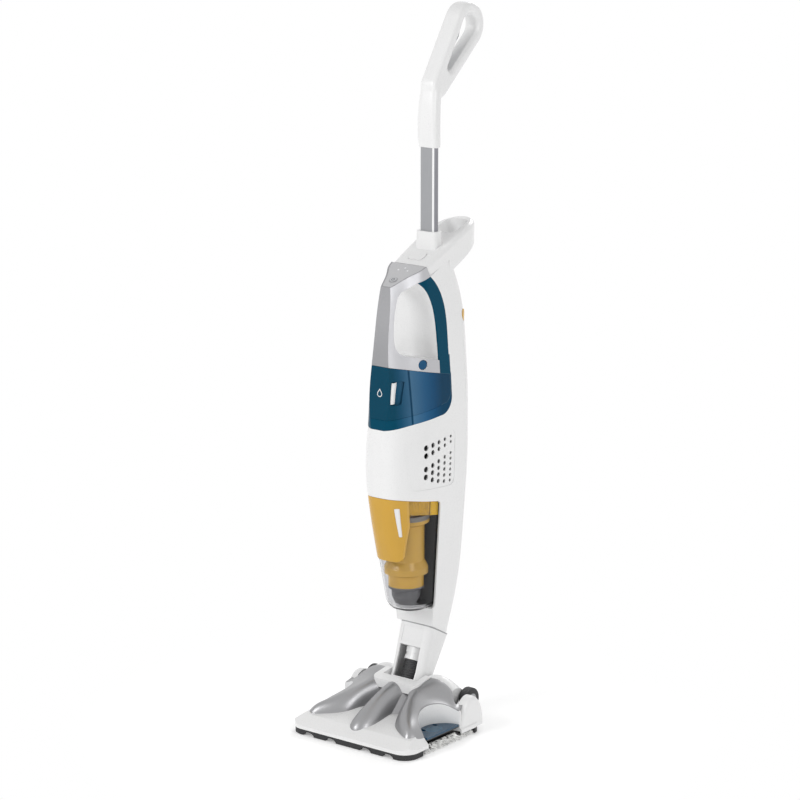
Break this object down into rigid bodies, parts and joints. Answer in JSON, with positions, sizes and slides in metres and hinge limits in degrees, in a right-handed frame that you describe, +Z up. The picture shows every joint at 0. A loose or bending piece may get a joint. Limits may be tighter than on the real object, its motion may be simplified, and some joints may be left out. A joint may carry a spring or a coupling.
{
  "type": "upright vacuum cleaner and steam mop",
  "caption": "Upright vacuum and steam mop: tilting body with lift-out blue water tank and amber dust box, telescopic loop handle, ridged floor head with microfibre pad and release pedals.",
  "frame": {"origin": "on the floor under the middle of the floor head, at the mop pad's sole", "axes": "+Z up, -Y the front with the tank and dust box, +Y the user's side, +X to the right of someone facing the front of the cleaner"},
  "size_m": [0.247, 0.341, 1.173],
  "materials": {
    "white_gloss": "glossy",
    "silver_satin": "satin",
    "teal_clear": "translucent glossy",
    "teal": "glossy",
    "blue_clear": "translucent glossy",
    "amber_clear": "translucent glossy",
    "smoky_clear": "transparent glossy",
    "amber": "satin",
    "dark_plastic": "matte",
    "grey_plastic": "matte",
    "black_rubber": "matte",
    "grey_rubber": "matte",
    "slate_plastic": "satin",
    "steel": "brushed",
    "boiler_alloy": "cast",
    "tube_alloy": "satin",
    "pipe_silicone": "matte",
    "board_green": "matte",
    "light_lens": "glossy",
    "yellow": "glossy",
    "filter_foam": "porous",
    "microfibre": "fluffy"
  },
  "bodies": {
    "floor_head": {"head_shell": "white_gloss", "head_cover": "silver_satin", "neck_collar": "white_gloss", "head_base": "dark_plastic", "suction_duct": "dark_plastic", "steam_nozzle": "boiler_alloy", "front_skirt": "black_rubber", "rear_skirts": "black_rubber", "wheel_axles": "steel", "tilt_pins": "steel"},
    "wheel_left": {"wheel_left": "dark_plastic"},
    "wheel_right": {"wheel_right": "dark_plastic"},
    "mop": {"mop_frame": "dark_plastic", "mop_pad": "microfibre", "pedal_pins": "steel"},
    "pedal_left": {"pedal_left": "blue_clear"},
    "pedal_right": {"pedal_right": "blue_clear"},
    "upright": {"body_shell": "white_gloss", "rear_cover": "white_gloss", "body_screws": "steel", "cord_gland": "dark_plastic", "vent_grilles": "white_gloss", "side_trims": "teal", "tank_band": "teal", "tank_inlet": "black_rubber", "carry_frame": "silver_satin", "control_panel": "silver_satin", "indicator_lights": "light_lens", "top_cover": "white_gloss", "carry_underside": "white_gloss", "neck": "white_gloss", "suction_hose": "black_rubber", "neck_seal": "grey_rubber", "motor_filter": "filter_foam", "motor_housing": "dark_plastic", "boiler": "boiler_alloy", "water_pump": "dark_plastic", "circuit_board": "board_green", "riser_duct": "dark_plastic", "steam_pipe": "pipe_silicone"},
    "tank": {"water_tank": "teal_clear", "tank_cap": "teal", "tank_valve": "grey_plastic", "tank_grips": "white_gloss"},
    "dust_box": {"dust_bucket": "smoky_clear", "dust_lid": "amber", "dust_front": "amber_clear", "dust_grips": "white_gloss", "cyclone": "amber_clear", "dust_cup": "grey_plastic"},
    "rotor": {"motor_rotor": "steel"},
    "handle": {"tube": "tube_alloy", "handle": "white_gloss", "handle_rim": "white_gloss", "trigger_pin": "steel"},
    "trigger": {"steam_trigger": "slate_plastic"},
    "power_button": {"power_button": "silver_satin"},
    "tank_release_button": {"tank_release_button": "blue_clear"},
    "handle_release_button": {"handle_release_button": "white_gloss"},
    "vacuum_button": {"vacuum_button": "yellow"}
  },
  "joints": [
    {"name": "body_tilt", "type": "hinge", "parent": "floor_head", "child": "upright", "pos_m": [0, 0.05, 0.045], "axis": [-1, 0, 0], "range_deg": [0, 60]},
    {"name": "wheel_left_spin", "type": "hinge", "parent": "floor_head", "child": "wheel_left", "pos_m": [-0.0975, 0.094, 0.049], "axis": [1, 0, 0], "continuous": true},
    {"name": "wheel_right_spin", "type": "hinge", "parent": "floor_head", "child": "wheel_right", "pos_m": [0.0975, 0.094, 0.049], "axis": [1, 0, 0], "continuous": true},
    {"name": "mop_release", "type": "slide", "parent": "floor_head", "child": "mop", "axis": [0, 0, -1], "range_m": [0, 0.04]},
    {"name": "pedal_left_press", "type": "hinge", "parent": "mop", "child": "pedal_left", "pos_m": [-0.09, 0, 0.018], "axis": [0, -1, 0], "range_deg": [0, 6], "stiffness_Nm_per_rad": 1},
    {"name": "pedal_right_press", "type": "hinge", "parent": "mop", "child": "pedal_right", "pos_m": [0.09, 0, 0.018], "axis": [0, 1, 0], "range_deg": [0, 6], "stiffness_Nm_per_rad": 1},
    {"name": "handle_slide", "type": "slide", "parent": "upright", "child": "handle", "axis": [0, 0, 1], "range_m": [0, 0.09]},
    {"name": "trigger_press", "type": "hinge", "parent": "handle", "child": "trigger", "pos_m": [0, 0.14457, 1.08839], "axis": [1, 0, 0], "range_deg": [0, 7], "stiffness_Nm_per_rad": 1},
    {"name": "power_press", "type": "slide", "parent": "upright", "child": "power_button", "axis": [0, 0.4147, -0.91], "range_m": [0, 0.0015], "stiffness_N_per_m": 500},
    {"name": "handle_release_press", "type": "slide", "parent": "upright", "child": "handle_release_button", "axis": [0, 0.4147, -0.91], "range_m": [0, 0.003], "stiffness_N_per_m": 500},
    {"name": "tank_release_press", "type": "slide", "parent": "upright", "child": "tank_release_button", "axis": [-0.9404, 0.3401, 0], "range_m": [0, 0.003], "stiffness_N_per_m": 500},
    {"name": "vacuum_press", "type": "slide", "parent": "upright", "child": "vacuum_button", "axis": [-0.88, -0.475, 0], "range_m": [0, 0.0025], "stiffness_N_per_m": 500},
    {"name": "tank_slide", "type": "slide", "parent": "upright", "child": "tank", "axis": [0, -1, 0], "range_m": [0, 0.11]},
    {"name": "dust_box_slide", "type": "slide", "parent": "upright", "child": "dust_box", "axis": [0, -1, 0], "range_m": [0, 0.12]},
    {"name": "motor_spin", "type": "hinge", "parent": "upright", "child": "rotor", "pos_m": [0, 0.052, 0.46], "axis": [0, 0, 1], "continuous": true}
  ]
}
